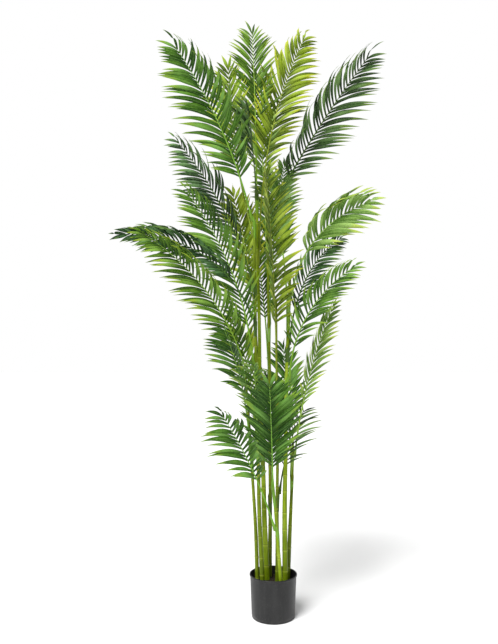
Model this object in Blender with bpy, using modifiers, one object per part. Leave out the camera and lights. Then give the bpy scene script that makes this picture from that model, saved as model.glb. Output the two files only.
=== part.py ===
"""A tall feathery palm: eight slender stems and their arching fronds, planted in a plain nursery pot.

Metres, +Z up. The origin is the centre of the pot's underside. Compass directions are in degrees
round +Z from +X, so 270 is the plant's front.
"""

from collections import namedtuple
from math import cos, pi, radians, sin

import bmesh
import bpy
from mathutils import Vector
from mathutils.bvhtree import BVHTree

COLLECTION = "potted_palm"
GAP = 0.0003

POT_HEIGHT = 0.150
POT_FOOT_RADIUS = 0.0755
POT_RIM_RADIUS = 0.0810
POT_WALL = 0.0022
POT_FLOOR = 0.0030
FOOT_ROUND = 0.0030
LIP_DEPTH = 0.0060
LIP_WIDTH = 0.0018
TURN_STEPS = 48

SOIL_EDGE_HEIGHT = 0.122
SOIL_CROWN = 0.004
CANE_FOOT_HEIGHT = 0.045
CANE_POINTS = 9
CANE_TOP_SHARE = 0.62

PETIOLE_WIDTH = 0.0050
MIDRIB_TIP_WIDTH = 0.0016
STALK_SEGMENTS = 5
TREE_RINGS = 30
SPINE_STEPS = 80
PAIR_SPACING = 0.036
LEAFLET_ROOT = 0.010
LEAFLET_THICKNESS = 0.0012
LEAFLET_WIDEST = 0.40
LEAFLET_FOLD = 22
LEAFLET_SWEEP = 0.85
LEAFLET_RISING = 24
LEAFLET_DROOP = 0.30
LEAFLET_DROOP_LEANING = 0.20
FACE_LIFT = 22
TEST_MARGIN = 0.0008
# The faces round the midrib that carry leaflets: 1 for the blade's left and -1 for its right.
LEAFLET_SIDES = {0: 1, 2: -1}

TURNS_ASIDE = (0, 9, -9, 18, -18, 27, -27, 36, -36)
LENGTH_SHARES = (1.0, 0.8, 0.6, 0.42, 0.28)

COLOURS = {
    "pot_black": ((0.034, 0.034, 0.036, 1), 0.45),
    "soil_dark": ((0.030, 0.022, 0.016, 1), 0.95),
    "stem_bright": ((0.30, 0.42, 0.045, 1), 0.45),
    "stem_olive": ((0.16, 0.20, 0.035, 1), 0.50),
    "leaf_deep": ((0.012, 0.050, 0.012, 1), 0.45),
    "leaf_mid": ((0.050, 0.150, 0.020, 1), 0.45),
    "leaf_fresh": ((0.110, 0.270, 0.045, 1), 0.45),
    "leaf_yellow": ((0.260, 0.350, 0.030, 1), 0.45),
}

# A stem: the foot's x and y, the top's x, y and z, the radius at the foot, the bow sideways, the material.
Cane = namedtuple("Cane", "foot top radius bow material")
CANES = {
    "cane_1": Cane((-0.056, 0.004), (-0.100, -0.020, 0.86), 0.0060, 0.006, "stem_olive"),
    "cane_2": Cane((-0.040, -0.034), (-0.066, -0.020, 1.42), 0.0065, -0.006, "stem_olive"),
    "cane_3": Cane((-0.022, 0.016), (-0.058, 0.020, 1.52), 0.0080, -0.005, "stem_bright"),
    "cane_4": Cane((-0.010, 0.050), (-0.022, 0.006, 1.44), 0.0062, 0.004, "stem_olive"),
    "cane_5": Cane((0.024, -0.058), (-0.004, -0.075, 0.47), 0.0056, 0.003, "stem_bright"),
    "cane_6": Cane((0.012, -0.010), (0.008, -0.030, 1.12), 0.0058, 0.004, "stem_olive"),
    "cane_7": Cane((0.040, -0.016), (0.058, -0.012, 1.22), 0.0080, -0.006, "stem_bright"),
    "cane_8": Cane((0.052, 0.028), (0.070, 0.030, 0.62), 0.0064, 0.003, "stem_olive"),
}

# A frond: the stem that it leaves and the height there, its compass direction, its lean from upright where
# it starts and at its tip, the lengths of stalk, blade and longest leaflet, a leaflet's width, the compass
# direction that its upper face looks to, the angle from midrib to leaflet, and its material.
FROND_FIELDS = "cane height heading lean_start lean_end stalk blade leaflet width face spread material"
Frond = namedtuple("Frond", FROND_FIELDS)
FRONDS = {
    "low_front": Frond("cane_5", 0.46, 262, 9, 23, 0.08, 0.30, 0.165, 0.019, 270, 45, "leaf_mid"),
    "low_left_centre": Frond("cane_2", 0.60, 262, 2, 30, 0.12, 0.18, 0.120, 0.016, 250, 42, "leaf_fresh"),
    "low_left": Frond("cane_5", 0.32, 213, 19, 36, 0.19, 0.27, 0.125, 0.016, 255, 44, "leaf_mid"),
    "low_right": Frond("cane_6", 0.43, 36, 8, 35, 0.09, 0.22, 0.120, 0.011, 285, 42, "leaf_deep"),
    "low_back": Frond("cane_4", 0.40, 92, 8, 45, 0.15, 0.33, 0.115, 0.016, 275, 42, "leaf_deep"),
    "lower_left": Frond("cane_1", 0.57, 238, 4, 37, 0.22, 0.25, 0.120, 0.016, 240, 42, "leaf_mid"),
    "lower_right": Frond("cane_8", 0.55, 345, 6, 23, 0.20, 0.36, 0.095, 0.015, 290, 32, "leaf_fresh"),
    "lower_back": Frond("cane_8", 0.48, 100, 4, 30, 0.15, 0.33, 0.120, 0.016, 275, 42, "leaf_mid"),
    "lower_left_back": Frond("cane_3", 0.58, 150, 4, 24, 0.20, 0.29, 0.110, 0.016, 260, 42, "leaf_yellow"),
    "middle_left_front": Frond("cane_2", 0.67, 205, 3, 61, 0.24, 0.55, 0.145, 0.016, 262, 42, "leaf_mid"),
    "middle_far_left": Frond("cane_2", 1.04, 199, 21, 97, 0.16, 0.41, 0.120, 0.014, 275, 42, "leaf_deep"),
    "middle_left": Frond("cane_2", 0.88, 185, 5, 37, 0.13, 0.51, 0.150, 0.016, 250, 42, "leaf_mid"),
    "middle_right": Frond("cane_7", 1.12, 338, 8, 74, 0.16, 0.27, 0.160, 0.016, 275, 42, "leaf_fresh"),
    "middle_right_front": Frond("cane_7", 0.83, 346, 2, 58, 0.11, 0.35, 0.120, 0.015, 275, 42, "leaf_mid"),
    "middle_right_back": Frond("cane_7", 0.95, 42, 5, 65, 0.12, 0.38, 0.110, 0.013, 285, 42, "leaf_deep"),
    "middle_back": Frond("cane_4", 0.80, 100, 8, 55, 0.25, 0.47, 0.140, 0.016, 280, 42, "leaf_mid"),
    "upper_front": Frond("cane_6", 0.79, 255, 1, 23, 0.23, 0.51, 0.135, 0.019, 320, 50, "leaf_yellow"),
    "upper_left": Frond("cane_2", 1.17, 161, 18, 41, 0.13, 0.46, 0.130, 0.015, 225, 46, "leaf_deep"),
    "upper_left_back": Frond("cane_3", 0.87, 139, 2, 20, 0.28, 0.36, 0.120, 0.018, 260, 42, "leaf_yellow"),
    "upper_back": Frond("cane_4", 1.02, 72, 4, 34, 0.22, 0.43, 0.125, 0.016, 275, 42, "leaf_fresh"),
    "upper_far_back": Frond("cane_7", 1.06, 104, 8, 52, 0.22, 0.45, 0.130, 0.016, 280, 42, "leaf_mid"),
    "crown_front": Frond("cane_3", 1.48, 254, 14, 25, 0.10, 0.20, 0.130, 0.019, 200, 42, "leaf_deep"),
    "crown_left": Frond("cane_2", 1.38, 195, 14, 36, 0.15, 0.49, 0.165, 0.018, 245, 50, "leaf_mid"),
    "crown_right": Frond("cane_4", 1.41, 350, 28, 38, 0.14, 0.49, 0.160, 0.015, 292, 48, "leaf_deep"),
    "crown_centre": Frond("cane_3", 1.47, 100, 0, 17, 0.28, 0.35, 0.128, 0.015, 270, 42, "leaf_mid"),
    "crown_left_back": Frond("cane_2", 1.33, 127, 23, 4, 0.26, 0.39, 0.130, 0.018, 250, 42, "leaf_yellow"),
    "crown_right_back": Frond("cane_3", 1.29, 40, 0, 31, 0.32, 0.51, 0.152, 0.017, 285, 46, "leaf_yellow"),
    "crown_back": Frond("cane_4", 1.32, 110, 8, 9, 0.22, 0.39, 0.120, 0.017, 280, 42, "leaf_fresh"),
}


def smoothstep(x):
    x = min(max(x, 0.0), 1.0)
    return x * x * (3 - 2 * x)


def compass(degrees):
    return Vector((cos(radians(degrees)), sin(radians(degrees)), 0))


def clear_scene():
    for obj in list(bpy.data.objects):
        bpy.data.objects.remove(obj)


def make_collection(name):
    collection = bpy.data.collections.new(name)
    bpy.context.scene.collection.children.link(collection)
    return collection


def make_material(name, colour, roughness):
    material = bpy.data.materials.new(name)
    material.use_nodes = True
    shader = material.node_tree.nodes["Principled BSDF"]
    shader.inputs["Base Color"].default_value = colour
    shader.inputs["Roughness"].default_value = roughness
    shader.inputs["Metallic"].default_value = 0.0
    return material


def add_object(name, data, collection, material=None):
    obj = bpy.data.objects.new(name, data)
    collection.objects.link(obj)
    if material:
        data.materials.append(material)
    return obj


def turned(name, profile, collection, material):
    """A solid of revolution: (radius, height) points from the axis, down the outer side, back to the axis."""
    mesh = bpy.data.meshes.new(name)
    points = [(radius, 0, height) for radius, height in profile]
    mesh.from_pydata(points, [(i, i + 1) for i in range(len(points) - 1)], [])
    obj = add_object(name, mesh, collection, material)
    screw = obj.modifiers.new("turn", "SCREW")
    screw.axis = "Z"
    screw.steps = TURN_STEPS
    screw.render_steps = TURN_STEPS
    screw.use_merge_vertices = True
    screw.merge_threshold = 0.00001
    screw.use_smooth_shade = True
    return obj


def pot_radius(height):
    return POT_FOOT_RADIUS + (POT_RIM_RADIUS - POT_FOOT_RADIUS) * height / POT_HEIGHT


def make_pot(collection, material):
    lip = POT_RIM_RADIUS + LIP_WIDTH
    lip_bottom = POT_HEIGHT - LIP_DEPTH
    rim_inside = POT_RIM_RADIUS - POT_WALL
    round_corner = [
        (
            POT_FOOT_RADIUS - FOOT_ROUND * (1 - cos(turn)),
            FOOT_ROUND * (1 - sin(turn)),
        )
        for turn in (0.0, pi / 8, pi / 4, 3 * pi / 8, pi / 2)
    ]
    profile = [
        (0, POT_FLOOR),
        (pot_radius(0) - POT_WALL - 0.002, POT_FLOOR),
        (pot_radius(0) - POT_WALL, POT_FLOOR + 0.002),
        (rim_inside, POT_HEIGHT - 0.001),
        (rim_inside + 0.0006, POT_HEIGHT),
        (lip - 0.0007, POT_HEIGHT),
        (lip, POT_HEIGHT - 0.0007),
        (lip, lip_bottom + 0.0006),
        (lip - 0.0006, lip_bottom),
        (pot_radius(lip_bottom), lip_bottom - 0.0006),
        *round_corner,
        (0, 0),
    ]
    return turned("pot", profile, collection, material)


def make_soil(collection, material):
    foot = POT_FLOOR + GAP
    side = POT_WALL + 2 * GAP
    profile = [
        (0, SOIL_EDGE_HEIGHT + SOIL_CROWN),
        (0.035, SOIL_EDGE_HEIGHT + 0.7 * SOIL_CROWN),
        (pot_radius(SOIL_EDGE_HEIGHT) - side, SOIL_EDGE_HEIGHT),
        (pot_radius(foot) - side, foot + 0.003),
        (pot_radius(foot) - side - 0.003, foot),
        (0, foot),
    ]
    return turned("soil", profile, collection, material)


def cane_axis(cane, height):
    """The stem's centre at a height: a straight line from foot to top that bows a little sideways."""
    rise = (height - SOIL_EDGE_HEIGHT) / (cane.top[2] - SOIL_EDGE_HEIGHT)
    bow = cane.bow * sin(pi * max(rise, 0))
    x = cane.foot[0] + (cane.top[0] - cane.foot[0]) * rise + bow
    y = cane.foot[1] + (cane.top[1] - cane.foot[1]) * rise
    return Vector((x, y, height))


def cane_radius(cane, height):
    rise = (height - CANE_FOOT_HEIGHT) / (cane.top[2] - CANE_FOOT_HEIGHT)
    return cane.radius * (1 - (1 - CANE_TOP_SHARE) * rise)


def make_cane(name, cane, collection, material=None, extra=0.0):
    """A round stem that tapers. A larger one, with extra on its radius and its foot, bores the soil."""
    curve = bpy.data.curves.new(name, "CURVE")
    curve.dimensions = "3D"
    curve.bevel_depth = 1.0
    curve.bevel_resolution = 2
    curve.use_fill_caps = True
    spline = curve.splines.new("POLY")
    spline.points.add(CANE_POINTS - 1)
    foot = CANE_FOOT_HEIGHT - extra
    for i, point in enumerate(spline.points):
        height = foot + (cane.top[2] - foot) * i / (CANE_POINTS - 1)
        point.co = (*cane_axis(cane, height), 1)
        point.radius = cane_radius(cane, height) + extra
    return add_object(name, curve, collection, material)


def as_mesh_object(obj, collection):
    """The same object with its curve made a welded mesh, which a Boolean can use."""
    bpy.context.view_layer.update()
    graph = bpy.context.evaluated_depsgraph_get()
    mesh = bpy.data.meshes.new_from_object(obj.evaluated_get(graph))
    name, matrix = obj.name, obj.matrix_world.copy()
    bpy.data.objects.remove(obj)
    bm = bmesh.new()
    bm.from_mesh(mesh)
    bmesh.ops.remove_doubles(bm, verts=bm.verts, dist=0.00001)
    bmesh.ops.recalc_face_normals(bm, faces=bm.faces)
    bm.to_mesh(mesh)
    bm.free()
    made = add_object(name, mesh, collection)
    made.matrix_world = matrix
    return made


def bore_soil(soil, cutters):
    for name, cane in CANES.items():
        cutter = as_mesh_object(make_cane(name + "_bore", cane, cutters, extra=GAP), cutters)
        cutter.hide_render = True
        cutter.display_type = "WIRE"
        bore = soil.modifiers.new(cutter.name, "BOOLEAN")
        bore.operation = "DIFFERENCE"
        bore.solver = "EXACT"
        bore.object = cutter


def frond_spine(frond):
    """Stations along a frond, as (distance, point, tangent), which bend evenly from first lean to last."""
    cane = CANES[frond.cane]
    heading = compass(frond.heading)
    length = frond.stalk + frond.blade
    beside = cane_radius(cane, frond.height) + PETIOLE_WIDTH * 0.75 + GAP
    point = cane_axis(cane, frond.height) + heading * beside
    step = length / SPINE_STEPS
    stations = []
    for i in range(SPINE_STEPS + 1):
        lean = radians(frond.lean_start + (frond.lean_end - frond.lean_start) * i / SPINE_STEPS)
        tangent = heading * sin(lean) + Vector((0, 0, cos(lean)))
        stations.append((i * step, point.copy(), tangent))
        point += tangent * step
    return stations


def at_distance(stations, distance):
    place = min(distance / stations[1][0], SPINE_STEPS - 1e-6)
    i = int(place)
    share = place - i
    point = stations[i][1].lerp(stations[i + 1][1], share)
    tangent = stations[i][2].lerp(stations[i + 1][2], share).normalized()
    return point, tangent


def frond_axes(frond, tangent):
    """(side, normal): the normal is the blade's upper face, and side is its left seen from that face."""
    lift = radians(FACE_LIFT)
    look = compass(frond.face) * cos(lift) + Vector((0, 0, sin(lift)))
    normal = (look - tangent * look.dot(tangent)).normalized()
    return normal.cross(tangent), normal


def midrib_corners(frond, stations, distance):
    point, tangent = at_distance(stations, distance)
    side, normal = frond_axes(frond, tangent)
    along = distance / (frond.stalk + frond.blade)
    half = (PETIOLE_WIDTH + (MIDRIB_TIP_WIDTH - PETIOLE_WIDTH) * along) / 2
    signs = ((1, 1), (-1, 1), (-1, -1), (1, -1))
    return [point + side * half * a + normal * half * b for a, b in signs]


def leaflet_length(frond, share):
    grows = 0.62 + 0.38 * smoothstep(share / 0.3)
    fades = 1 - 0.52 * smoothstep((share - 0.55) / 0.45)
    return frond.leaflet * grows * fades


def leaflet_sections(frond, point, tangent, share, hand, turn, length):
    """A leaflet's middle centre, its axes there, and its tip. hand is 1 on the left and -1 on the right."""
    side, normal = frond_axes(frond, tangent)
    fold = radians(LEAFLET_FOLD + turn)
    outward = side * hand * cos(fold) + normal * sin(fold)
    spread = radians(frond.spread - 8 * share + LEAFLET_RISING * side.z * hand)
    start = tangent * cos(spread) + outward * sin(spread)
    level = Vector((tangent.x, tangent.y, 0))
    droop = LEAFLET_DROOP + LEAFLET_DROOP_LEANING * level.length
    bend = level * LEAFLET_SWEEP - Vector((0, 0, droop))
    middle = point + (start + bend * 0.25).normalized() * length * LEAFLET_WIDEST
    bent = (start + bend * 0.90).normalized()
    tip = middle + bent * length * (1 - LEAFLET_WIDEST)
    across = (tangent - start * tangent.dot(start)).normalized()
    return middle, across, across.cross(start), tip


def leaflet_quad(root, middle, across, thick, width, depth):
    """The middle section's four corners, each beyond the root corner on its own side."""
    centre = sum(root, Vector()) / 4
    corners = []
    for corner in root:
        a = 1 if (corner - centre).dot(across) > 0 else -1
        b = 1 if (corner - centre).dot(thick) > 0 else -1
        corners.append(middle + across * a * width / 2 + thick * b * depth / 2)
    return corners


def leaflet_tree(root, quad, tip, outward):
    """A collision tree of one leaflet, from just off its midrib to its tip."""
    start = [corner + outward * 0.003 for corner in root]
    points = start + quad + [tip]
    faces = [(i, (i + 1) % 4, 4 + (i + 1) % 4, 4 + i) for i in range(4)]
    faces += [(4 + i, 4 + (i + 1) % 4, 8) for i in range(4)]
    return BVHTree.FromPolygons(points, faces)


def find_room(frond, point, tangent, share, hand, root, obstacles):
    """The first way to lay a leaflet, turned aside or shortened, that touches nothing placed before it."""
    full = leaflet_length(frond, share)
    centre = sum(root, Vector()) / 4
    for length_share in LENGTH_SHARES:
        for turn in TURNS_ASIDE:
            length = full * length_share
            middle, across, thick, tip = leaflet_sections(
                frond, point, tangent, share, hand, turn, length
            )
            start = (middle - point).normalized()
            fat = leaflet_quad(
                root,
                middle,
                across,
                thick,
                frond.width + 2 * TEST_MARGIN,
                LEAFLET_THICKNESS + 2 * TEST_MARGIN,
            )
            beyond = tip + start * TEST_MARGIN
            wide_root = [centre + (corner - centre) * 1.3 for corner in root]
            tree = leaflet_tree(wide_root, fat, beyond, start)
            if not any(tree.overlap(other) for other in obstacles):
                quad = leaflet_quad(root, middle, across, thick, frond.width, LEAFLET_THICKNESS)
                return quad, tip, tree
    return None


def midrib_distances(frond):
    """Where the midrib's rings are: up the stalk, two for each pair of leaflets, and one at the tip."""
    pairs = max(4, round(frond.blade / PAIR_SPACING))
    spacing = frond.blade / pairs
    stalk = [frond.stalk * i / STALK_SEGMENTS for i in range(STALK_SEGMENTS)]
    starts = [frond.stalk + spacing * (pair + 0.3) for pair in range(pairs)]
    blade = [distance for start in starts for distance in (start, start + LEAFLET_ROOT)]
    return stalk, blade, frond.stalk + frond.blade


def add_leaflet(bm, root, quad, tip):
    """Lofts a leaflet from its root corners on the midrib, through its widest section, to its pointed tip."""
    ring = [bm.verts.new(corner) for corner in quad]
    point = bm.verts.new(tip)
    for i in range(4):
        bm.faces.new((root[i], root[i - 1], ring[i - 1], ring[i]))
        bm.faces.new((ring[i], ring[i - 1], point))


def grow_blade(bm, frond, stations, rings, blade, obstacles):
    """Closes the blade's rings, with a leaflet on each side of every second stretch where there is room."""
    own = []
    for i, (lower, upper) in enumerate(zip(rings, rings[1:])):
        has_pair = i % 2 == 0 and i < len(blade) - 1
        for k in range(4):
            corners = (lower[k], lower[k - 1], upper[k - 1], upper[k])
            laid = None
            if has_pair and k in LEAFLET_SIDES:
                place = sum(blade[i : i + 2]) / 2
                point, tangent = at_distance(stations, place)
                share = (place - frond.stalk) / frond.blade
                root = [vert.co.copy() for vert in corners]
                hand = LEAFLET_SIDES[k]
                laid = find_room(frond, point, tangent, share, hand, root, obstacles + own)
            if laid:
                quad, tip, tree = laid
                add_leaflet(bm, corners, quad, tip)
                own.append(tree)
            else:
                bm.faces.new(corners)


def make_frond(name, frond, collection, material, obstacles):
    stations = frond_spine(frond)
    stalk, blade, end = midrib_distances(frond)
    bm = bmesh.new()
    rings = [
        [bm.verts.new(corner) for corner in midrib_corners(frond, stations, distance)]
        for distance in (*stalk, *blade, end)
    ]
    bm.faces.new(rings[0])
    bm.faces.new(rings[-1])
    stalk_rings = rings[: len(stalk) + 1]
    for lower, upper in zip(stalk_rings, stalk_rings[1:]):
        for k in range(4):
            bm.faces.new((lower[k], lower[k - 1], upper[k - 1], upper[k]))
    grow_blade(bm, frond, stations, rings[len(stalk) :], blade, obstacles)
    bmesh.ops.recalc_face_normals(bm, faces=bm.faces)
    mesh = bpy.data.meshes.new(name)
    bm.to_mesh(mesh)
    obstacles.append(BVHTree.FromBMesh(bm))
    bm.free()
    return add_object(name, mesh, collection, material)


def midrib_tree(frond):
    """A collision tree of a frond's stalk and midrib alone, which every leaflet stays clear of."""
    stations = frond_spine(frond)
    rings = [
        midrib_corners(frond, stations, (frond.stalk + frond.blade) * i / TREE_RINGS)
        for i in range(TREE_RINGS + 1)
    ]
    points = [corner for ring in rings for corner in ring]
    faces = [
        (4 * i + k, 4 * i + (k + 1) % 4, 4 * i + 4 + (k + 1) % 4, 4 * i + 4 + k)
        for i in range(TREE_RINGS)
        for k in range(4)
    ]
    return BVHTree.FromPolygons(points, faces)


def tree_of(obj):
    graph = bpy.context.evaluated_depsgraph_get()
    evaluated = obj.evaluated_get(graph)
    bm = bmesh.new()
    bm.from_mesh(evaluated.to_mesh())
    tree = BVHTree.FromBMesh(bm)
    bm.free()
    evaluated.to_mesh_clear()
    return tree


def main():
    clear_scene()
    parts = make_collection(COLLECTION)
    cutters = make_collection("cutters")
    materials = {name: make_material(name, *look) for name, look in COLOURS.items()}
    pot = make_pot(parts, materials["pot_black"])
    soil = make_soil(parts, materials["soil_dark"])
    bore_soil(soil, cutters)
    canes = [
        make_cane(name, cane, parts, materials[cane.material]) for name, cane in CANES.items()
    ]
    bpy.context.view_layer.update()
    fixed = [tree_of(obj) for obj in (pot, soil, *canes)]
    midribs = {name: midrib_tree(frond) for name, frond in FRONDS.items()}
    leaves = []
    for name, frond in FRONDS.items():
        others = [tree for other, tree in midribs.items() if other != name]
        obstacles = fixed + others + leaves
        make_frond("frond_" + name, frond, parts, materials[frond.material], obstacles)
        leaves.append(obstacles[-1])


main()
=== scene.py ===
"""Looks of the potted palm: dense feather fronds, ringed stems, a moulded nursery pot and crumbly soil,
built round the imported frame. Metres, +Z up, the pot's underside at the origin."""

import zlib
from collections import namedtuple
from math import cos, pi, radians, sin, sqrt

import bpy
import numpy as np
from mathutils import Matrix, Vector


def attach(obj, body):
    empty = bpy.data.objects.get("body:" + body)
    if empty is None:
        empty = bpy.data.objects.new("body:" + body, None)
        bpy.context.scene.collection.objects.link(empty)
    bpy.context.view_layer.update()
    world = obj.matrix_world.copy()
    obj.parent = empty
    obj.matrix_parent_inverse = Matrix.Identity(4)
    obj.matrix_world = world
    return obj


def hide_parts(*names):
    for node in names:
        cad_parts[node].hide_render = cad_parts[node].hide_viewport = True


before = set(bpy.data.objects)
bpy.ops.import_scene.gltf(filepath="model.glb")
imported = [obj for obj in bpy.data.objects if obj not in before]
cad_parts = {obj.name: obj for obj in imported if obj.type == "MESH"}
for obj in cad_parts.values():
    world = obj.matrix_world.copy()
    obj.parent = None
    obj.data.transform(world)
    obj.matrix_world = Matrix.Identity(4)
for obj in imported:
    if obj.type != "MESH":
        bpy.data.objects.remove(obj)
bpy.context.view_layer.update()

# Sizes that the CAD model also has: metres, degrees for FOLD, RISING and LIFT, and shares for the rest.
POT_HEIGHT = 0.150
POT_FOOT_RADIUS = 0.0755
POT_RIM_RADIUS = 0.0810
POT_WALL = 0.0022
LIP_DEPTH = 0.0060
LIP_WIDTH = 0.0018
SOIL_EDGE_HEIGHT = 0.122
CANE_FOOT_HEIGHT = 0.045
CANE_TOP_SHARE = 0.62
PETIOLE_WIDTH = 0.0050
SPINE_STEPS = 80
LEAFLET_FOLD = 22
LEAFLET_SWEEP = 0.85
LEAFLET_RISING = 24
LEAFLET_DROOP = 0.30
LEAFLET_DROOP_LEANING = 0.20
FACE_LIFT = 22

# Sizes and counts of the finer shapes. SOIL_WAVES are in radians a metre; CRUMB_LIFTS are shares of a radius.
LEAFLET_SPACING = 0.0168
LEAFLET_SEGMENTS = 12
LEAFLET_THICKNESS = 0.0005
STALK_RINGS = 26
BLADE_RINGS = 44
STALK_SIDES = 10
STALK_RADIUS = 0.0032
STALK_THINNING = 0.0024
STALK_FLARE = 0.0028
STALK_FLARE_LENGTH = 0.05
SHEATH_SIDES = 20
SHEATH_ROWS = 9
SHEATH_DROP = 0.060
SHEATH_RISE = 0.016
SHEATH_GAP = 0.0010
SHEATH_OPENING = 0.0012
SHEATH_MOUTH = 0.0022
SHEATH_THICKNESS = 0.0007
CANE_SIDES = 20
CANE_RING_SPACING = 0.062
CANE_RING_HALF_WIDTH = 0.0030
CANE_GROOVE_OFFSET = 0.0022
CANE_GROOVE_HALF_WIDTH = 0.0007
CANE_RING_HEIGHT = 0.0007
CANE_GROOVE_DEPTH = 0.0005
SOIL_GAP = 0.0006
SOIL_WAVES = (60, 95, 140, 210, 330)
SOIL_CRUMBS = 420
CRUMB_SIDES = 7
CRUMB_LIFTS = (-0.9, -0.4, 0.2, 0.7, 0.95)
CANE_FOOT_SWELL = 0.30
CANE_FOOT_SWELL_HEIGHT = 0.8

# The studio.
CAMERA_PLACE = (-0.085, -2.55, 1.03)
CAMERA_LENS_MM = 40.7
FLOOR_SIZE = 24
FLOOR_HEIGHT = -0.0005
BACKDROP_STRENGTH = 1.0
EVEN_LIGHT_STRENGTH = 0.19

# A stem: the foot's x and y, the top's x, y and z, the radius at the foot, the bow sideways, the material.
Cane = namedtuple("Cane", "foot top radius bow material")
CANES = {
    "cane_1": Cane((-0.056, 0.004), (-0.100, -0.020, 0.86), 0.0060, 0.006, "stem_olive"),
    "cane_2": Cane((-0.040, -0.034), (-0.066, -0.020, 1.42), 0.0065, -0.006, "stem_olive"),
    "cane_3": Cane((-0.022, 0.016), (-0.058, 0.020, 1.52), 0.0080, -0.005, "stem_bright"),
    "cane_4": Cane((-0.010, 0.050), (-0.022, 0.006, 1.44), 0.0062, 0.004, "stem_olive"),
    "cane_5": Cane((0.024, -0.058), (-0.004, -0.075, 0.47), 0.0056, 0.003, "stem_bright"),
    "cane_6": Cane((0.012, -0.010), (0.008, -0.030, 1.12), 0.0058, 0.004, "stem_olive"),
    "cane_7": Cane((0.040, -0.016), (0.058, -0.012, 1.22), 0.0080, -0.006, "stem_bright"),
    "cane_8": Cane((0.052, 0.028), (0.070, 0.030, 0.62), 0.0064, 0.003, "stem_olive"),
}

# A frond: the stem that it leaves and the height there, its compass direction, its lean from upright where
# it starts and at its tip, the lengths of stalk, blade and longest leaflet, a leaflet's width, the compass
# direction that its upper face looks to, the angle from midrib to leaflet, and its material. Some fronds'
# leaflets are a little wider, narrower, longer or turned here than in the CAD model; the rest is the same.
FROND_FIELDS = "cane height heading lean_start lean_end stalk blade leaflet width face spread material"
Frond = namedtuple("Frond", FROND_FIELDS)
FRONDS = {
    "low_front": Frond("cane_5", 0.46, 262, 9, 23, 0.08, 0.30, 0.165, 0.017, 270, 45, "leaf_mid"),
    "low_left_centre": Frond("cane_2", 0.60, 262, 2, 30, 0.12, 0.18, 0.120, 0.016, 250, 42, "leaf_fresh"),
    "low_left": Frond("cane_5", 0.32, 213, 19, 36, 0.19, 0.27, 0.140, 0.017, 255, 48, "leaf_mid"),
    "low_right": Frond("cane_6", 0.43, 36, 8, 35, 0.09, 0.22, 0.120, 0.009, 285, 42, "leaf_deep"),
    "low_back": Frond("cane_4", 0.40, 92, 8, 45, 0.15, 0.33, 0.115, 0.016, 275, 42, "leaf_deep"),
    "lower_left": Frond("cane_1", 0.57, 238, 4, 37, 0.22, 0.25, 0.120, 0.016, 240, 42, "leaf_mid"),
    "lower_right": Frond("cane_8", 0.55, 345, 6, 23, 0.20, 0.36, 0.095, 0.0135, 290, 32, "leaf_fresh"),
    "lower_back": Frond("cane_8", 0.48, 100, 4, 30, 0.15, 0.33, 0.120, 0.016, 275, 42, "leaf_mid"),
    "lower_left_back": Frond("cane_3", 0.58, 150, 4, 24, 0.20, 0.29, 0.110, 0.016, 260, 42, "leaf_yellow"),
    "middle_left_front": Frond("cane_2", 0.67, 205, 3, 61, 0.24, 0.55, 0.145, 0.0145, 262, 42, "leaf_mid"),
    "middle_far_left": Frond("cane_2", 1.04, 199, 21, 97, 0.16, 0.41, 0.120, 0.015, 275, 42, "leaf_deep"),
    "middle_left": Frond("cane_2", 0.88, 185, 5, 37, 0.13, 0.51, 0.150, 0.0145, 250, 42, "leaf_mid"),
    "middle_right": Frond("cane_7", 1.12, 338, 8, 74, 0.16, 0.27, 0.160, 0.018, 275, 42, "leaf_fresh"),
    "middle_right_front": Frond("cane_7", 0.83, 346, 2, 58, 0.11, 0.35, 0.120, 0.0135, 275, 42, "leaf_mid"),
    "middle_right_back": Frond("cane_7", 0.95, 42, 5, 65, 0.12, 0.38, 0.110, 0.012, 285, 42, "leaf_deep"),
    "middle_back": Frond("cane_4", 0.80, 100, 8, 55, 0.25, 0.47, 0.140, 0.016, 280, 42, "leaf_mid"),
    "upper_front": Frond("cane_6", 0.79, 255, 1, 23, 0.23, 0.51, 0.135, 0.019, 320, 50, "leaf_yellow"),
    "upper_left": Frond("cane_2", 1.17, 161, 18, 41, 0.13, 0.46, 0.130, 0.016, 225, 46, "leaf_deep"),
    "upper_left_back": Frond("cane_3", 0.87, 139, 2, 20, 0.28, 0.36, 0.120, 0.018, 260, 42, "leaf_yellow"),
    "upper_back": Frond("cane_4", 1.02, 72, 4, 34, 0.22, 0.43, 0.125, 0.016, 275, 42, "leaf_fresh"),
    "upper_far_back": Frond("cane_7", 1.06, 104, 8, 52, 0.22, 0.45, 0.130, 0.016, 280, 42, "leaf_mid"),
    "crown_front": Frond("cane_3", 1.48, 254, 14, 25, 0.10, 0.20, 0.130, 0.019, 200, 42, "leaf_deep"),
    "crown_left": Frond("cane_2", 1.38, 195, 14, 36, 0.15, 0.49, 0.165, 0.017, 256, 49, "leaf_mid"),
    "crown_right": Frond("cane_4", 1.41, 350, 28, 38, 0.14, 0.49, 0.160, 0.015, 292, 47, "leaf_deep"),
    "crown_centre": Frond("cane_3", 1.47, 100, 0, 17, 0.28, 0.35, 0.128, 0.013, 270, 42, "leaf_mid"),
    "crown_left_back": Frond("cane_2", 1.33, 127, 23, 4, 0.26, 0.39, 0.130, 0.018, 250, 42, "leaf_yellow"),
    "crown_right_back": Frond("cane_3", 1.29, 40, 0, 31, 0.32, 0.51, 0.152, 0.017, 285, 43, "leaf_yellow"),
    "crown_back": Frond("cane_4", 1.32, 110, 8, 9, 0.22, 0.39, 0.120, 0.017, 280, 42, "leaf_fresh"),
}

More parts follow.
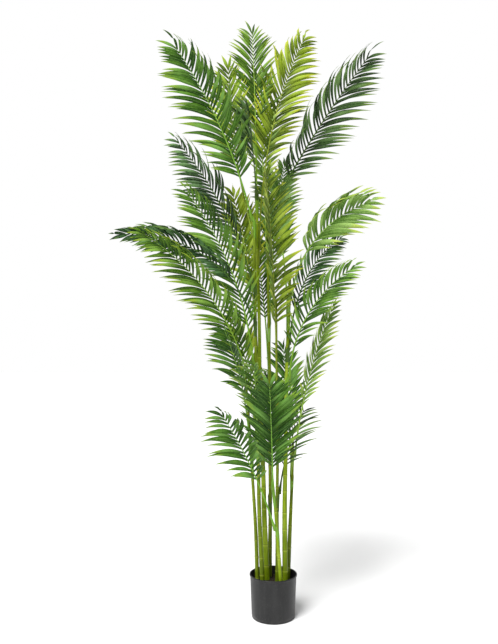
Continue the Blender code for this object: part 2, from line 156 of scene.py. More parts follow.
# Fronds whose leaflets stand closer, stiffer or more arched than the rest: their spacing, and how much they
# bend as a share of the usual bend.
HABITS = {
    "low_front": (0.0115, 0.35),
    "low_left": (0.0150, 1.3),
    "crown_left": (0.0145, 1.3),
    "crown_right": (0.0160, 1.2),
    "crown_centre": (0.0150, 1.0),
    "crown_right_back": (0.0155, 1.25),
    "middle_left_front": (0.0155, 1.2),
    "middle_far_left": (0.0150, 1.3),
    "middle_right": (0.0150, 1.3),
}


def smoothstep(x):
    x = np.clip(x, 0.0, 1.0)
    return x * x * (3 - 2 * x)


def compass(degrees):
    return np.array([cos(radians(degrees)), sin(radians(degrees)), 0.0])


def unit(vectors):
    return vectors / np.linalg.norm(vectors, axis=-1, keepdims=True)


def random_for(name):
    return np.random.default_rng(zlib.crc32(name.encode()))


# ---------------------------------------------------------------- materials


class Nodes:
    """A material's node tree, with short calls for the nodes used here."""

    def __init__(self, name, roughness=0.5, specular=0.5):
        self.material = bpy.data.materials.new(name)
        self.material.use_nodes = True
        self.tree = self.material.node_tree
        self.shader = self.tree.nodes["Principled BSDF"]
        self.shader.inputs["Roughness"].default_value = roughness
        self.shader.inputs["Specular IOR Level"].default_value = specular

    def node(self, kind, inputs=(), **settings):
        made = self.tree.nodes.new(kind)
        for key, value in settings.items():
            setattr(made, key, value)
        for socket, value in dict(inputs).items():
            self.feed(made.inputs[socket], value)
        return made

    def feed(self, socket, value):
        if isinstance(value, bpy.types.NodeSocket):
            self.tree.links.new(value, socket)
        else:
            socket.default_value = value

    def math(self, operation, a, b=0.0, clamp=False):
        made = self.node("ShaderNodeMath", {0: a, 1: b}, operation=operation, use_clamp=clamp)
        return made.outputs[0]

    def noise(self, vector, scale, detail=3.0, roughness=0.55):
        inputs = {"Vector": vector, "Scale": scale, "Detail": detail, "Roughness": roughness}
        return self.node("ShaderNodeTexNoise", inputs).outputs["Fac"]

    def stretched(self, vector, scale):
        mapping = self.node("ShaderNodeMapping", {"Vector": vector, "Scale": scale})
        return mapping.outputs["Vector"]

    def ramp(self, value, stops):
        """stops are (place, value) pairs, for a grey, or (place, colour)."""
        made = self.node("ShaderNodeValToRGB", {"Fac": value})
        elements = made.color_ramp.elements
        while len(elements) < len(stops):
            elements.new(0.5)
        for element, (place, colour) in zip(elements, stops):
            element.position = place
            element.color = (*colour, 1) if isinstance(colour, tuple) else (colour,) * 3 + (1,)
        return made.outputs["Color"]

    def mix(self, share, a, b, kind="MIX"):
        made = self.node("ShaderNodeMix", data_type="RGBA", blend_type=kind)
        self.feed(made.inputs[0], share)
        for socket, value in ((made.inputs[6], a), (made.inputs[7], b)):
            self.feed(socket, (*value, 1) if isinstance(value, tuple) else value)
        return made.outputs[2]

    def object_place(self):
        return self.node("ShaderNodeTexCoord").outputs["Object"]

    def attribute(self, name):
        """An attribute's four channels."""
        read = self.node("ShaderNodeAttribute", attribute_name=name)
        split = self.node("ShaderNodeSeparateColor", {"Color": read.outputs["Color"]})
        return (*split.outputs[:3], read.outputs["Alpha"])

    def bump(self, height, strength, distance, under=None):
        inputs = {"Height": height, "Strength": strength, "Distance": distance}
        if under:
            inputs["Normal"] = under
        return self.node("ShaderNodeBump", inputs).outputs["Normal"]

    def set(self, **sockets):
        for name, value in sockets.items():
            self.feed(self.shader.inputs[name.replace("_", " ")], value)
        return self.material


def leaf_material(name, shadow, body, light, tip, roughness, under):
    """One face of a leaflet: parallel veins, a pale middle line, patchy green, painted shade at the root, a
    paler tip.
    """
    n = Nodes(name, specular=0.06 if under else 0.12)
    along, across, chance, _ = n.attribute("leaf")
    place = n.object_place()
    patches = n.noise(place, 9.0, 4.0)
    mottle = n.noise(place, 160.0, 2.0)
    blend = n.math("ADD", n.math("MULTIPLY", patches, 0.55), n.math("MULTIPLY", chance, 0.45))
    green = n.ramp(blend, [(0.31, shadow), (0.51, body), (0.72, light)])
    green = n.mix(n.ramp(mottle, [(0.35, 0.0), (0.75, 0.28)]), green, light)
    off_middle = n.math("ABSOLUTE", n.math("SUBTRACT", across, 0.5))
    veins = n.math("SINE", n.math("MULTIPLY", across, 2 * pi * 11))
    lines = n.ramp(n.math("MULTIPLY_ADD", veins, 0.5), [(0.0, 0.0), (1.0, 0.16)])
    green = n.mix(lines, green, shadow)
    rib = n.ramp(off_middle, [(0.0, 0.55), (0.035, 0.40), (0.07, 0.0)])
    green = n.mix(rib, green, light)
    edge = n.ramp(off_middle, [(0.44, 0.0), (0.50, 0.30)])
    green = n.mix(edge, green, shadow)
    # Painted shade: each leaflet darkens towards its root at the midrib, where the leaflets crowd together.
    root = n.ramp(along, [(0.0, 0.88), (0.46, 0.0)])
    green = n.mix(root, green, shadow)
    end = n.math("MULTIPLY_ADD", chance, 0.35)
    n.feed(end.node.inputs[2], along)
    green = n.mix(n.ramp(end, [(0.86, 0.0), (1.22, 0.75)]), green, tip)
    scorch = n.ramp(end, [(1.24, 0.0), (1.31, 0.85)])
    green = n.mix(scorch, green, (0.16, 0.09, 0.03))
    crease = n.ramp(off_middle, [(0.0, 1.0), (0.06, 0.0)])
    relief = n.math("ADD", n.math("MULTIPLY", veins, 0.25), crease)
    normal = n.bump(relief, 0.35, 0.0006)
    normal = n.bump(mottle, 0.12, 0.0006, normal)
    gloss = n.ramp(patches, [(0.3, roughness - 0.06), (0.7, roughness + 0.10)])
    return n.set(Base_Color=green, Roughness=gloss, Normal=normal)


def stalk_material(name, dark, body, light):
    """A frond's stalk and midrib: lengthwise streaks, paler to the tip, olive on the stem's sheath."""
    n = Nodes(name, specular=0.15)
    *_, share = n.attribute("leaf")
    place = n.object_place()
    streaks = n.noise(n.stretched(place, (420.0, 420.0, 14.0)), 1.0, 3.0)
    patches = n.noise(place, 18.0, 3.0)
    colour = n.ramp(streaks, [(0.25, dark), (0.52, body), (0.80, light)])
    colour = n.mix(n.ramp(patches, [(0.35, 0.0), (0.75, 0.5)]), colour, body)
    colour = n.mix(n.ramp(share, [(0.25, 0.0), (0.9, 0.6)]), colour, light)
    sheath = n.mix(0.5, dark, (0.17, 0.19, 0.03))
    colour = n.mix(n.ramp(share, [(0.0, 0.6), (0.05, 0.0)]), colour, sheath)
    normal = n.bump(streaks, 0.35, 0.0008)
    gloss = n.ramp(patches, [(0.3, 0.34), (0.7, 0.50)])
    return n.set(Base_Color=colour, Roughness=gloss, Normal=normal)


def cane_material(name, dark, body, light):
    """A stem's bark: leaf scars as pale rings with a dark line, fibres between, a waxy bloom in patches."""
    n = Nodes(name, specular=0.15)
    scar, rise, _, line = n.attribute("cane")
    place = n.object_place()
    fibres = n.noise(n.stretched(place, (520.0, 520.0, 9.0)), 1.0, 4.0)
    patches = n.noise(n.stretched(place, (26.0, 26.0, 7.0)), 1.0, 4.0)
    colour = n.ramp(patches, [(0.28, dark), (0.50, body), (0.74, light)])
    colour = n.mix(n.ramp(fibres, [(0.40, 0.55), (0.62, 0.0)]), colour, dark)
    colour = n.mix(n.ramp(rise, [(0.0, 0.35), (0.16, 0.0)]), colour, dark)
    colour = n.mix(n.math("MULTIPLY", scar, 0.45), colour, light)
    colour = n.mix(n.math("MULTIPLY", line, 0.75), colour, (0.075, 0.060, 0.018))
    specks = n.ramp(n.noise(place, 240.0, 2.0), [(0.66, 0.0), (0.74, 0.6)])
    colour = n.mix(specks, colour, (0.09, 0.07, 0.02))
    normal = n.bump(fibres, 0.30, 0.0010)
    gloss = n.ramp(patches, [(0.3, 0.36), (0.7, 0.55)])
    return n.set(Base_Color=colour, Roughness=gloss, Normal=normal)


def pot_material():
    """Black moulded plastic: a fine grain, a faint painted sheen in vertical streaks, dust low down and light
    scuffs on the rim.
    """
    n = Nodes("black_moulded_plastic", specular=0.36)
    place = n.object_place()
    height = n.node("ShaderNodeSeparateXYZ", {"Vector": place}).outputs["Z"]
    grain = n.noise(place, 1500.0, 2.0)
    painted_sheen = n.noise(n.stretched(place, (60.0, 60.0, 9.0)), 1.0, 4.0)
    cloud = n.noise(place, 22.0, 5.0, 0.6)
    scratches = n.noise(n.stretched(place, (28.0, 28.0, 420.0)), 1.0, 5.0, 0.7)
    black = n.ramp(cloud, [(0.30, (0.007, 0.007, 0.0075)), (0.72, (0.016, 0.016, 0.0165))])
    # Painted sheen: lighter vertical streaks on the black wall stand in for reflected light.
    black = n.mix(n.ramp(painted_sheen, [(0.45, 0.0), (0.75, 0.30)]), black, (0.040, 0.040, 0.040))
    dust_low = n.ramp(n.math("DIVIDE", height, POT_HEIGHT), [(0.0, 0.55), (0.20, 0.05), (1.0, 0.0)])
    specks = n.ramp(n.noise(place, 420.0, 3.0), [(0.62, 0.0), (0.72, 1.0)])
    dust = n.math("MULTIPLY", specks, n.math("ADD", dust_low, 0.22))
    black = n.mix(dust, black, (0.17, 0.16, 0.145))
    scuff = n.ramp(scratches, [(0.64, 0.0), (0.72, 0.55)])
    top = n.ramp(n.math("DIVIDE", height, POT_HEIGHT), [(0.95, 0.15), (0.99, 1.0)])
    black = n.mix(n.math("MULTIPLY", scuff, top), black, (0.12, 0.12, 0.12))
    gloss = n.ramp(cloud, [(0.30, 0.34), (0.72, 0.50)])
    normal = n.bump(grain, 0.10, 0.0004)
    normal = n.bump(scratches, 0.06, 0.0005, normal)
    return n.set(Base_Color=black, Roughness=gloss, Normal=normal)


def soil_material():
    n = Nodes("dark_potting_soil", specular=0.25)
    place = n.object_place()
    crumbs = n.noise(place, 260.0, 6.0, 0.7)
    damp = n.noise(place, 30.0, 3.0)
    brown = n.ramp(
        crumbs,
        [(0.30, (0.008, 0.006, 0.004)), (0.52, (0.030, 0.020, 0.012)), (0.74, (0.085, 0.058, 0.034))],
    )
    brown = n.mix(n.ramp(damp, [(0.4, 0.5), (0.65, 0.0)]), brown, (0.010, 0.008, 0.006))
    flecks = n.ramp(n.noise(place, 420.0, 1.0), [(0.72, 0.0), (0.76, 0.8)])
    brown = n.mix(flecks, brown, (0.30, 0.27, 0.22))
    gloss = n.ramp(damp, [(0.4, 0.72), (0.65, 0.95)])
    return n.set(Base_Color=brown, Roughness=gloss, Normal=n.bump(crumbs, 0.9, 0.003))


# Linear colours: shadow, body, light and tip of a leaflet, then dark, body and light of its stalk.
GREENS = {
    "leaf_deep": (
        ((0.002, 0.010, 0.002), (0.022, 0.064, 0.011), (0.165, 0.300, 0.095), (0.15, 0.24, 0.04)),
        ((0.020, 0.050, 0.006), (0.050, 0.110, 0.015), (0.130, 0.230, 0.050)),
    ),
    "leaf_mid": (
        ((0.009, 0.042, 0.002), (0.068, 0.170, 0.009), (0.225, 0.430, 0.080), (0.27, 0.40, 0.04)),
        ((0.070, 0.170, 0.012), (0.165, 0.340, 0.026), (0.320, 0.540, 0.110)),
    ),
    "leaf_fresh": (
        ((0.045, 0.120, 0.010), (0.155, 0.295, 0.050), (0.330, 0.510, 0.150), (0.40, 0.50, 0.08)),
        ((0.110, 0.200, 0.025), (0.220, 0.390, 0.065), (0.360, 0.560, 0.160)),
    ),
    "leaf_yellow": (
        ((0.034, 0.070, 0.001), (0.205, 0.310, 0.006), (0.480, 0.630, 0.080), (0.50, 0.54, 0.04)),
        ((0.090, 0.120, 0.006), (0.210, 0.280, 0.015), (0.380, 0.460, 0.060)),
    ),
}
STEMS = {
    "stem_bright": ((0.100, 0.150, 0.002), (0.240, 0.350, 0.006), (0.420, 0.530, 0.060)),
    "stem_olive": ((0.055, 0.085, 0.002), (0.165, 0.235, 0.005), (0.300, 0.380, 0.035)),
}


def tinted(colour, warm):
    """The same colour, a little yellower for warm above 0 and bluer below it."""
    red, green, blue = colour
    return (red * (1 + 0.9 * warm), green * (1 + 0.25 * warm), blue * (1 - 0.8 * warm))


def frond_materials(name, kind):
    """Upper face, under face and stalk of one frond. Each frond has its own slight tint."""
    warm = random_for(name + "tint").uniform(-0.16, 0.16)
    leaf, stalk = GREENS[kind]
    upper = [tinted(colour, warm) for colour in leaf]
    shadow, body, light, tip = upper
    pale = [tuple(0.55 * a + 0.45 * b for a, b in zip(body, light)), light]
    return [
        leaf_material(name + "_upper", shadow, body, light, tip, 0.40, False),
        leaf_material(name + "_under", body, pale[0], pale[1], tip, 0.52, True),
        stalk_material(name + "_stalk", *[tinted(colour, warm) for colour in stalk]),
    ]


# ---------------------------------------------------------------- mesh building


class Shape:
    """Vertices, faces, a material number for each face and four numbers for each vertex."""

    def __init__(self):
        self.points, self.faces, self.slots, self.data = [], [], [], []
        self.count = 0

    def add(self, points, data):
        first = self.count
        self.points.append(points)
        self.data.append(data)
        self.count += len(points)
        return first

    def face(self, corners, slot):
        self.faces.append(corners)
        self.slots.append(slot)

    def tube(self, rings, data, slots, start="cap", end="cap"):
        """Joins rings of equal size into a closed skin. slots gives the material for each side."""
        count, sides = rings.shape[:2]
        first = self.add(rings.reshape(-1, 3), data.reshape(-1, 4))
        for i in range(count - 1):
            low = first + i * sides
            for k in range(sides):
                j = (k + 1) % sides
                self.face((low + k, low + j, low + sides + j, low + sides + k), slots[k])
        if start == "cap":
            self.face(tuple(first + k for k in reversed(range(sides))), slots[0])
        if end == "cap":
            self.face(tuple(first + (count - 1) * sides + k for k in range(sides)), slots[0])
        return first

    def close_to_point(self, first, point, data, slots):
        """Closes a ring of vertices that starts at first with one point."""
        tip = self.add(np.array([point]), np.array([data]))
        for k in range(len(slots)):
            self.face((first + k, first + (k + 1) % len(slots), tip), slots[k])

    def build(self, name, materials, attribute, sharp=50):
        mesh = bpy.data.meshes.new(name)
        mesh.from_pydata(np.concatenate(self.points).tolist(), [], self.faces)
        for material in materials:
            mesh.materials.append(material)
        mesh.polygons.foreach_set("material_index", self.slots)
        layer = mesh.color_attributes.new(attribute, "FLOAT_COLOR", "POINT")
        layer.data.foreach_set("color", np.concatenate(self.data).astype(np.float32).ravel())
        mesh.shade_smooth()
        mesh.set_sharp_from_angle(angle=radians(sharp))
        obj = bpy.data.objects.new(name, mesh)
        bpy.context.scene.collection.objects.link(obj)
        return obj


def finish_piece(obj, slot, *nodes):
    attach(obj, "root")
    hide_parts(*nodes)


# ---------------------------------------------------------------- stems


def cane_axis(cane, height):
    rise = (height - SOIL_EDGE_HEIGHT) / (cane.top[2] - SOIL_EDGE_HEIGHT)
    bow = cane.bow * sin(pi * max(rise, 0))
    x = cane.foot[0] + (cane.top[0] - cane.foot[0]) * rise + bow
    y = cane.foot[1] + (cane.top[1] - cane.foot[1]) * rise
    return np.array([x, y, height])


def cane_radius(cane, height):
    rise = (height - CANE_FOOT_HEIGHT) / (cane.top[2] - CANE_FOOT_HEIGHT)
    return cane.radius * (1 - (1 - CANE_TOP_SHARE) * rise)


def cane_heights(cane, chance):
    """Ring scars get wider apart up the stem. Returns heights for the mesh and those of the scars."""
    scars = []
    height = SOIL_EDGE_HEIGHT + chance.uniform(0.01, 0.05)
    while height < cane.top[2] - 0.03:
        scars.append(height)
        height += CANE_RING_SPACING * chance.uniform(0.75, 1.2) * (1 + 0.6 * height / cane.top[2])
    steps = np.arange(CANE_FOOT_HEIGHT + 0.002, cane.top[2] - 0.004, 0.010)
    close = [scar + step for scar in scars for step in (-0.004, -0.0022, -0.001, 0.0, 0.001, 0.0024, 0.005)]
    return np.array(sorted([*steps, *close])), np.array(scars)


def make_cane(name, cane):
    chance = random_for(name)
    heights, scars = cane_heights(cane, chance)
    phase = chance.uniform(0, 2 * pi, 4)
    turns = np.arange(CANE_SIDES) * 2 * pi / CANE_SIDES
    rings = np.zeros((len(heights), CANE_SIDES, 3))
    data = np.zeros((len(heights), CANE_SIDES, 4))
    for i, height in enumerate(heights):
        off = height - scars[np.abs(scars - height).argmin()]
        swell = np.exp(-((off / CANE_RING_HALF_WIDTH) ** 2))
        notch = np.exp(-(((off - CANE_GROOVE_OFFSET) / CANE_GROOVE_HALF_WIDTH) ** 2))
        uneven = 1 + 0.030 * np.sin(2 * turns + phase[0] + 5 * height)
        uneven += 0.018 * np.sin(5 * turns + phase[1] + 9 * height)
        stout = 1 + CANE_FOOT_SWELL * (1 - smoothstep(height / CANE_FOOT_SWELL_HEIGHT))
        radius = cane_radius(cane, height) * stout * uneven
        radius = radius + CANE_RING_HEIGHT * swell - CANE_GROOVE_DEPTH * notch
        wander = 0.0010 * np.array([sin(13 * height + phase[2]), cos(11 * height + phase[3]), 0])
        spokes = np.stack([np.cos(turns), np.sin(turns), 0 * turns], 1)
        rings[i] = cane_axis(cane, height) + wander + spokes * radius[:, None]
        data[i] = (swell, (height - SOIL_EDGE_HEIGHT) / 1.4, chance.uniform(), notch)
    shape = Shape()
    first = shape.tube(rings, data, [0] * CANE_SIDES, end="open")
    peak = rings[-1].mean(0) + np.array([0, 0, 0.003])
    shape.close_to_point(first + (len(heights) - 1) * CANE_SIDES, peak, data[-1, 0], [0] * CANE_SIDES)
    obj = shape.build(name + "_stem", [cane_material(name + "_bark", *STEMS[cane.material])], "cane")
    finish_piece(obj, cane.material, name)


# ---------------------------------------------------------------- fronds


def frond_spine(frond):
    """Points and tangents along a frond, as the CAD model has them."""
    cane = CANES[frond.cane]
    heading = compass(frond.heading)
    beside = cane_radius(cane, frond.height) + PETIOLE_WIDTH * 0.75
    step = (frond.stalk + frond.blade) / SPINE_STEPS
    leans = np.radians(np.linspace(frond.lean_start, frond.lean_end, SPINE_STEPS + 1))[:, None]
    tangents = heading * np.sin(leans) + np.array([0, 0, 1.0]) * np.cos(leans)
    start = cane_axis(cane, frond.height) + heading * beside
    points = start + np.vstack([np.zeros(3), np.cumsum(tangents[:-1], 0) * step])
    return points, tangents


def at_share(spine, share):
    place = np.clip(share, 0, 1) * SPINE_STEPS
    i = np.minimum(place.astype(int), SPINE_STEPS - 1)
    part = (place - i)[..., None]
    points, tangents = spine
    point = points[i] * (1 - part) + points[i + 1] * part
    return point, unit(tangents[i] * (1 - part) + tangents[i + 1] * part)


def frond_axes(frond, tangents):
    lift = radians(FACE_LIFT)
    look = compass(frond.face) * cos(lift) + np.array([0, 0, sin(lift)])
    normals = unit(look - tangents * (tangents @ look)[..., None])
    return np.cross(normals, tangents), normals


def leaflet_length(frond, share):
    grows = 0.62 + 0.38 * smoothstep(share / 0.3)
    fades = 1 - 0.52 * smoothstep((share - 0.55) / 0.45)
    return frond.leaflet * grows * fades


def add_stalk(shape, frond, spine):
    """The stalk and midrib: round below, channelled above, thinning to the tip."""
    length = frond.stalk + frond.blade
    shares = np.concatenate(
        [
            np.linspace(0, frond.stalk / length, STALK_RINGS, endpoint=False),
            np.linspace(frond.stalk / length, 1, BLADE_RINGS),
        ]
    )
    points, tangents = at_share(spine, shares)
    sides, normals = frond_axes(frond, tangents)
    widths = STALK_RADIUS - STALK_THINNING * smoothstep(shares * 0.95)
    widths += STALK_FLARE * (1 - smoothstep(shares * length / STALK_FLARE_LENGTH))
    turns = np.arange(STALK_SIDES) * 2 * pi / STALK_SIDES
    flat = 0.80 - 0.22 * np.clip(np.sin(turns), 0, 1)
    rings = (
        points[:, None]
        + sides[:, None] * (np.cos(turns) * widths[:, None])[..., None]
        + normals[:, None] * (np.sin(turns) * flat * widths[:, None])[..., None]
    )
    data = np.zeros((len(shares), STALK_SIDES, 4))
    data[..., 0] = shares[:, None]
    data[..., 1] = np.arange(STALK_SIDES) / STALK_SIDES
    data[..., 3] = shares[:, None]
    shape.tube(rings, data, [2] * STALK_SIDES)


def add_sheath(shape, frond):
    """The leaf base: a thin sleeve round the stem below the stalk, its mouth higher on the stalk's side."""
    cane = CANES[frond.cane]
    sides, rows = SHEATH_SIDES, SHEATH_ROWS
    turns = np.arange(sides) * 2 * pi / sides
    toward = np.cos(turns - radians(frond.heading))
    rings = []
    for layer in (1, -1):
        for row in range(rows):
            up = row / (rows - 1) if layer == 1 else 1 - row / (rows - 1)
            top = frond.height + SHEATH_RISE * (0.2 + toward)
            heights = frond.height - SHEATH_DROP + (top - frond.height + SHEATH_DROP) * up
            middle = np.array([cane_axis(cane, height) for height in heights])
            radius = cane_radius(cane, frond.height) + SHEATH_GAP + SHEATH_OPENING * up
            radius = radius + SHEATH_MOUTH * up**2 * np.clip(toward, 0, 1) - SHEATH_THICKNESS * (layer == -1)
            spokes = np.stack([np.cos(turns), np.sin(turns), 0 * turns], 1)
            rings.append(middle + spokes * radius[:, None])
    rings = np.array(rings)
    data = np.zeros((*rings.shape[:2], 4))
    data[..., 3] = 0.035
    first = shape.tube(rings, data, [2] * sides, start="open", end="open")
    last = first + (2 * rows - 1) * sides
    for k in range(sides):
        j = (k + 1) % sides
        shape.face((last + k, last + j, first + j, first + k), 2)


LEAFLET_LOOP = np.array([-1.0, -0.5, 0.0, 0.5, 1.0, 0.5, 0.0, -0.5])
LEAFLET_TOP = np.array([0, 1, 1, 1, 0, 0, 0, 0])
LEAFLET_UNDER = np.array([0, 0, 0, 0, 0, 1, 1, 1])
LEAFLET_SLOTS = (0, 0, 0, 0, 1, 1, 1, 1)


def leaflet_middles(frond, point, tangent, share, hand, chance, axes, bending):
    """The way a leaflet runs: points along its middle and the direction at each."""
    side, normal = axes
    length = leaflet_length(frond, share) * chance.uniform(0.92, 1.06)
    fold = radians(LEAFLET_FOLD + chance.normal(0, 5))
    level = tangent * np.array([1, 1, 0])
    lean = np.linalg.norm(level)
    rising = LEAFLET_RISING * side[2] * hand * (1 - 0.75 * lean**3)
    spread = radians(max(frond.spread - 8 * share + rising + chance.normal(0, 3.5), 12))
    if share > 0.97:
        spread *= 0.5
    outward = side * hand * cos(fold) + normal * sin(fold)
    start = tangent * cos(spread) + outward * sin(spread)
    droop = (LEAFLET_DROOP + LEAFLET_DROOP_LEANING * lean) * chance.uniform(0.75, 1.25)
    bend = bending * (level * LEAFLET_SWEEP * chance.uniform(0.8, 1.15) - np.array([0, 0, droop]))
    shares = np.linspace(0, 1, LEAFLET_SEGMENTS + 1)
    ways = unit(start + bend * (1.35 * shares**1.1)[:, None])
    steps = (ways[1:] + ways[:-1]) / 2 * length / LEAFLET_SEGMENTS
    middles = point + np.vstack([np.zeros(3), np.cumsum(steps, 0)])
    return length, shares, ways, middles


def add_leaflet(shape, frond, point, tangent, share, hand, chance, bending):
    side, normal = (axis[0] for axis in frond_axes(frond, tangent[None]))
    length, shares, ways, middles = leaflet_middles(
        frond, point, tangent, share, hand, chance, (side, normal), bending
    )
    across = unit(tangent - ways * (ways @ tangent)[:, None])
    top = np.cross(across, ways)
    top *= np.sign(top @ normal)[:, None]
    twist = radians(chance.normal(6, 8)) + radians(chance.normal(0, 14)) * shares
    turned = across * np.cos(twist)[:, None] + top * np.sin(twist)[:, None]
    top = top * np.cos(twist)[:, None] - across * np.sin(twist)[:, None]
    widest = frond.width * (0.36 + 0.62 * sqrt(length / frond.leaflet))
    widths = widest * (0.40 + 0.60 * smoothstep(shares / 0.50)) * (1 - shares**2.6) ** 1.1 / 2
    gutter = 0.34 * np.abs(LEAFLET_LOOP) * (1 - 0.35 * shares[:, None])
    thick = LEAFLET_THICKNESS * (1.0 + 1.2 * (LEAFLET_LOOP == 0)) * (LEAFLET_TOP - LEAFLET_UNDER) / 2
    lifts = -gutter * widths[:, None] + thick * (1 - 0.6 * shares[:, None])
    rings = middles[:, None] + turned[:, None] * (LEAFLET_LOOP * widths[:, None])[..., None]
    rings = rings + top[:, None] * lifts[..., None]
    data = np.zeros((LEAFLET_SEGMENTS + 1, len(LEAFLET_LOOP), 4))
    data[..., 0] = shares[:, None]
    data[..., 1] = LEAFLET_LOOP / 2 + 0.5
    data[..., 2] = chance.uniform()
    data[..., 3] = share
    first = shape.tube(rings[:-1], data[:-1], LEAFLET_SLOTS, end="open")
    last = first + (LEAFLET_SEGMENTS - 1) * len(LEAFLET_LOOP)
    shape.close_to_point(last, middles[-1], data[-1, 2], LEAFLET_SLOTS)


def make_frond(name, frond):
    chance = random_for("frond_" + name)
    spine = frond_spine(frond)
    shape = Shape()
    add_stalk(shape, frond, spine)
    add_sheath(shape, frond)
    length = frond.stalk + frond.blade
    spacing, bending = HABITS.get(name, (LEAFLET_SPACING, 1.0))
    pairs = round(frond.blade / spacing)
    for i in range(pairs):
        share = (i + 0.5) / pairs
        for hand in (1, -1):
            offset = 0.12 * hand + chance.uniform(-0.12, 0.12)
            place = np.array((frond.stalk + frond.blade * (i + 0.5 + offset) / pairs) / length)
            point, tangent = at_share(spine, place)
            add_leaflet(shape, frond, point, tangent, share, hand, chance, bending)
    node = "frond_" + name
    obj = shape.build(node + "_foliage", frond_materials(node, frond.material), "leaf")
    finish_piece(obj, frond.material, node)


# ---------------------------------------------------------------- pot and soil


def pot_radius(height):
    return POT_FOOT_RADIUS + (POT_RIM_RADIUS - POT_FOOT_RADIUS) * height / POT_HEIGHT


def arc(centre, radius, start, end, steps):
    """Points on a rounded corner, from one angle to another in degrees."""
    angles = [radians(start + (end - start) * i / steps) for i in range(steps + 1)]
    return [(centre[0] + radius * cos(a), centre[1] + radius * sin(a)) for a in angles]


def make_pot():
    lip = POT_RIM_RADIUS + LIP_WIDTH
    inside = POT_RIM_RADIUS - POT_WALL
    lip_bottom = POT_HEIGHT - LIP_DEPTH
    foot_step = 0.0075
    profile = [(0.0, 0.0032), (0.060, 0.0032)]
    profile += arc((pot_radius(0) - POT_WALL - 0.004, 0.0072), 0.004, -90, 0, 5)
    profile += [(pot_radius(z) - POT_WALL, z) for z in np.linspace(0.02, 0.144, 12)]
    profile += arc((inside + 0.0011, POT_HEIGHT - 0.0011), 0.0011, 180, 90, 4)
    profile += arc((lip - 0.0013, POT_HEIGHT - 0.0013), 0.0013, 90, 0, 5)
    profile += arc((lip - 0.0009, lip_bottom + 0.0009), 0.0009, 0, -90, 4)
    profile += [(pot_radius(lip_bottom) + 0.0002, lip_bottom - 0.0006)]
    profile += [(pot_radius(z), z) for z in np.linspace(lip_bottom - 0.002, foot_step + 0.001, 16)]
    profile += [(pot_radius(foot_step) - 0.0006, foot_step), (pot_radius(0) - 0.0007, foot_step - 0.0008)]
    profile += arc((pot_radius(0) - 0.0032, 0.0025), 0.0025, 0, -90, 5)
    profile += [(0.060, 0.0), (0.057, 0.0006), (0.020, 0.0006), (0.0, 0.0006)]
    mesh = bpy.data.meshes.new("pot_shell")
    mesh.from_pydata([(r, 0, z) for r, z in profile], [(i, i + 1) for i in range(len(profile) - 1)], [])
    obj = bpy.data.objects.new("pot_shell", mesh)
    bpy.context.scene.collection.objects.link(obj)
    screw = obj.modifiers.new("turn", "SCREW")
    screw.axis = "Z"
    screw.steps = screw.render_steps = 144
    screw.use_merge_vertices = True
    screw.merge_threshold = 0.00001
    screw.use_smooth_shade = True
    mesh.materials.append(pot_material())
    finish_piece(obj, "pot_black", "pot")


def make_soil():
    """A crumbly surface: an uneven disc over a plain plug, with lumps pressed into it."""
    chance = random_for("soil")
    rings, sides = 34, 96
    rim = pot_radius(SOIL_EDGE_HEIGHT) - POT_WALL - SOIL_GAP
    turns = np.arange(sides) * 2 * pi / sides
    bumps = [(*chance.uniform(-1, 1, 2), chance.uniform(0, 2 * pi), scale) for scale in SOIL_WAVES]
    points = []
    for i in range(1, rings + 1):
        radius = rim * i / rings
        x, y = radius * np.cos(turns), radius * np.sin(turns)
        z = SOIL_EDGE_HEIGHT + 0.003 * (1 - (radius / rim) ** 2)
        for dx, dy, phase, scale in bumps:
            wave = np.sin(scale * (x * dx + y * dy) + phase) * np.cos(scale * (y * dx - x * dy))
            z = z + 0.055 / scale * wave
        points.append(np.stack([x, y, z - 0.0015], 1))
    low = [(pot_radius(z) - POT_WALL - SOIL_GAP, z) for z in (0.09, 0.05, 0.012)]
    for radius, z in low:
        points.append(np.stack([radius * np.cos(turns), radius * np.sin(turns), np.full(sides, z)], 1))
    points = np.array(points)
    shape = Shape()
    data = np.zeros((*points.shape[:2], 4))
    first = shape.tube(points[::-1], data, [0] * sides, end="open")
    crown = first + (len(points) - 1) * sides
    shape.close_to_point(crown, points[0].mean(0), data[0, 0], [0] * sides)
    for _ in range(SOIL_CRUMBS):
        add_crumb(shape, chance, rim)
    obj = shape.build("soil_surface", [soil_material()], "crumb", sharp=35)
    finish_piece(obj, "soil_dark", "soil")


def add_crumb(shape, chance, rim):
    """One lump: a small squashed ball with an uneven skin."""
    away = (rim - 0.004) * sqrt(chance.uniform())
    turn = chance.uniform(0, 2 * pi)
    size = chance.uniform(0.0012, 0.0032)
    squash = np.array([chance.uniform(0.8, 2.0), chance.uniform(0.7, 1.1), chance.uniform(0.4, 0.8)])
    spin = chance.uniform(0, 2 * pi)
    middle = np.array([away * cos(turn), away * sin(turn), SOIL_EDGE_HEIGHT + 0.0008])
    rings = []
    around = np.arange(CRUMB_SIDES) * 2 * pi / CRUMB_SIDES
    for lift in CRUMB_LIFTS:
        reach = sqrt(1 - lift**2) * chance.uniform(0.75, 1.15, CRUMB_SIDES)
        ball = np.stack([reach * np.cos(around), reach * np.sin(around), np.full(CRUMB_SIDES, lift)], 1)
        ball = ball * squash * size
        x = ball[:, 0] * cos(spin) - ball[:, 1] * sin(spin)
        y = ball[:, 0] * sin(spin) + ball[:, 1] * cos(spin)
        rings.append(middle + np.stack([x, y, ball[:, 2]], 1))
    rings = np.array(rings)
    shape.tube(rings, np.zeros((*rings.shape[:2], 4)), [0] * CRUMB_SIDES)


# ---------------------------------------------------------------- studio


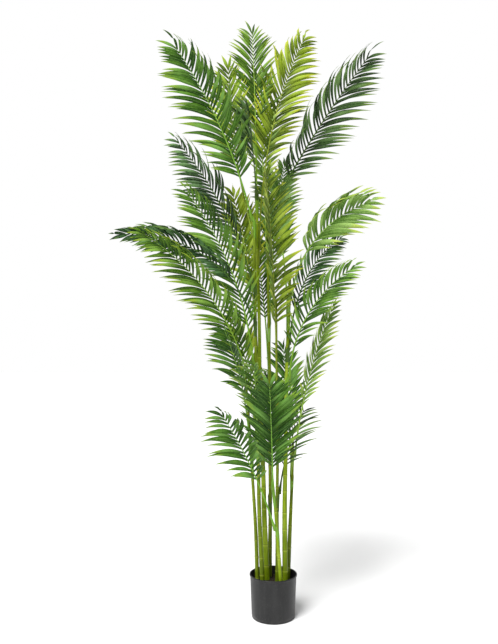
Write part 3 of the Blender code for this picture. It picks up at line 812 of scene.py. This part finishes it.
def make_studio():
    bpy.ops.mesh.primitive_plane_add(size=FLOOR_SIZE, location=(0, 0, FLOOR_HEIGHT))
    floor = bpy.context.object
    floor.name = "studio_floor"
    n = Nodes("pale_floor", roughness=0.75, specular=0.2)
    wash = n.noise(n.object_place(), 0.8, 2.0)
    floor.data.materials.append(n.set(Base_Color=n.ramp(wash, [(0.3, 0.92), (0.7, 0.95)])))
    light_studio()


def light_studio():
    """A white backdrop, a dimmer even light all round, a broad sun, and softboxes in front and behind."""
    world = bpy.data.worlds.new("studio_white")
    bpy.context.scene.world = world
    world.use_nodes = True
    tree = world.node_tree
    seen = tree.nodes["Background"]
    seen.inputs["Color"].default_value = (1, 1, 1, 1)
    seen.inputs["Strength"].default_value = BACKDROP_STRENGTH
    lit = tree.nodes.new("ShaderNodeBackground")
    lit.inputs["Color"].default_value = (1, 1, 1, 1)
    lit.inputs["Strength"].default_value = EVEN_LIGHT_STRENGTH
    path = tree.nodes.new("ShaderNodeLightPath")
    pick = tree.nodes.new("ShaderNodeMixShader")
    tree.links.new(path.outputs["Is Camera Ray"], pick.inputs[0])
    tree.links.new(lit.outputs[0], pick.inputs[1])
    tree.links.new(seen.outputs[0], pick.inputs[2])
    tree.links.new(pick.outputs[0], tree.nodes["World Output"].inputs["Surface"])
    add_light("key_sun", "SUN", (-1.5, -2.4, 4.0), (0, 0, 0), radians(28), 4.1)
    add_light("front_softbox", "AREA", (0.6, -3.4, 1.6), (0, 0, 1.1), 1.8, 22)
    add_light("back_left_softbox", "AREA", (-2.6, 2.4, 2.2), (0, 0, 1.0), 2.0, 22)
    add_light("back_right_softbox", "AREA", (2.6, 2.4, 2.2), (0, 0, 1.0), 2.0, 22)


def add_light(name, kind, place, target, size, power):
    """size is an area light's side in metres, or a sun's angle in radians."""
    light = bpy.data.lights.new(name, kind)
    if kind == "SUN":
        light.angle = size
    else:
        light.size = size
    light.energy = power
    obj = bpy.data.objects.new(name, light)
    bpy.context.scene.collection.objects.link(obj)
    obj.location = place
    obj.rotation_euler = (Vector(target) - Vector(place)).to_track_quat("-Z", "Y").to_euler()


def make_camera():
    """Level, at the height of the plant's middle, a little left of the pot."""
    data = bpy.data.cameras.new("camera")
    data.lens = CAMERA_LENS_MM
    data.sensor_width = 36
    data.clip_start = 0.05
    camera = bpy.data.objects.new("camera", data)
    bpy.context.scene.collection.objects.link(camera)
    camera.location = CAMERA_PLACE
    camera.rotation_euler = (pi / 2, 0, 0)
    bpy.context.scene.camera = camera


def main():
    make_camera()
    make_studio()
    make_pot()
    make_soil()
    for name, cane in CANES.items():
        make_cane(name, cane)
    for name, frond in FRONDS.items():
        make_frond(name, frond)
    bpy.context.scene.view_settings.view_transform = "Standard"


main()
